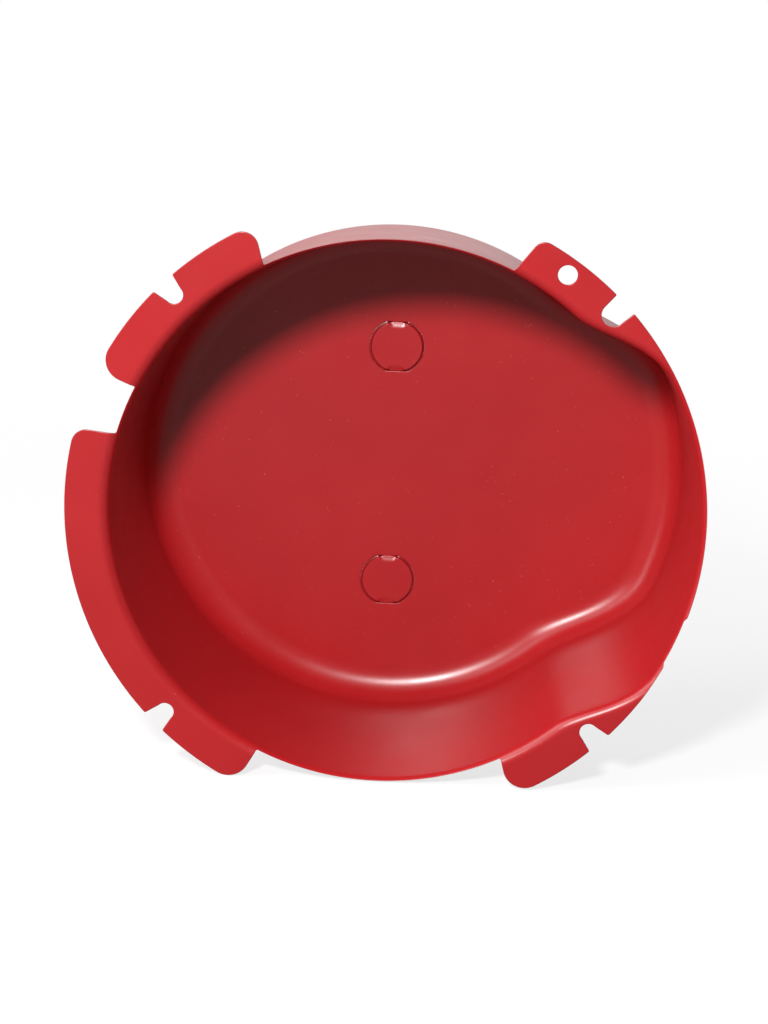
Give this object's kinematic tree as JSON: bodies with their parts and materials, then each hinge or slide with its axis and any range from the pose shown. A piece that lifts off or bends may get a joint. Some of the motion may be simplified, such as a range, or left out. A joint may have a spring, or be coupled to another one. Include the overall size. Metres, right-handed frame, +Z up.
{
  "type": "back dome",
  "caption": "Deep-drawn red sheet-steel back dome for a fire alarm sounder, with a side lobe, slotted flange tabs and knock-outs.",
  "frame": {"origin": "centre of the back's outer face, on the axis of the main round wall", "axes": "+Z up as mounted with the flange upright; -Y out of the open mouth, +Y behind the back; +X towards the side lobe"},
  "size_m": [0.232, 0.08, 0.2042],
  "materials": {
    "painted_shell": "satin red powder coat, fine orange peel",
    "painted_knockout": "satin red powder coat, fine orange peel"
  },
  "bodies": {
    "shell": {"dome_shell": "painted_shell"},
    "upper_slug": {"upper_knockout": "painted_knockout"},
    "lower_slug": {"lower_knockout": "painted_knockout"}
  },
  "joints": [
    {"name": "upper_knockout_bend", "type": "hinge", "parent": "shell", "child": "upper_slug", "pos_m": [0, -0.001, 0.0559], "axis": [-1, 0, 0], "range_deg": [0, 80]},
    {"name": "lower_knockout_bend", "type": "hinge", "parent": "shell", "child": "lower_slug", "pos_m": [0, -0.001, -0.0367], "axis": [-1, 0, 0], "range_deg": [0, 80]}
  ]
}
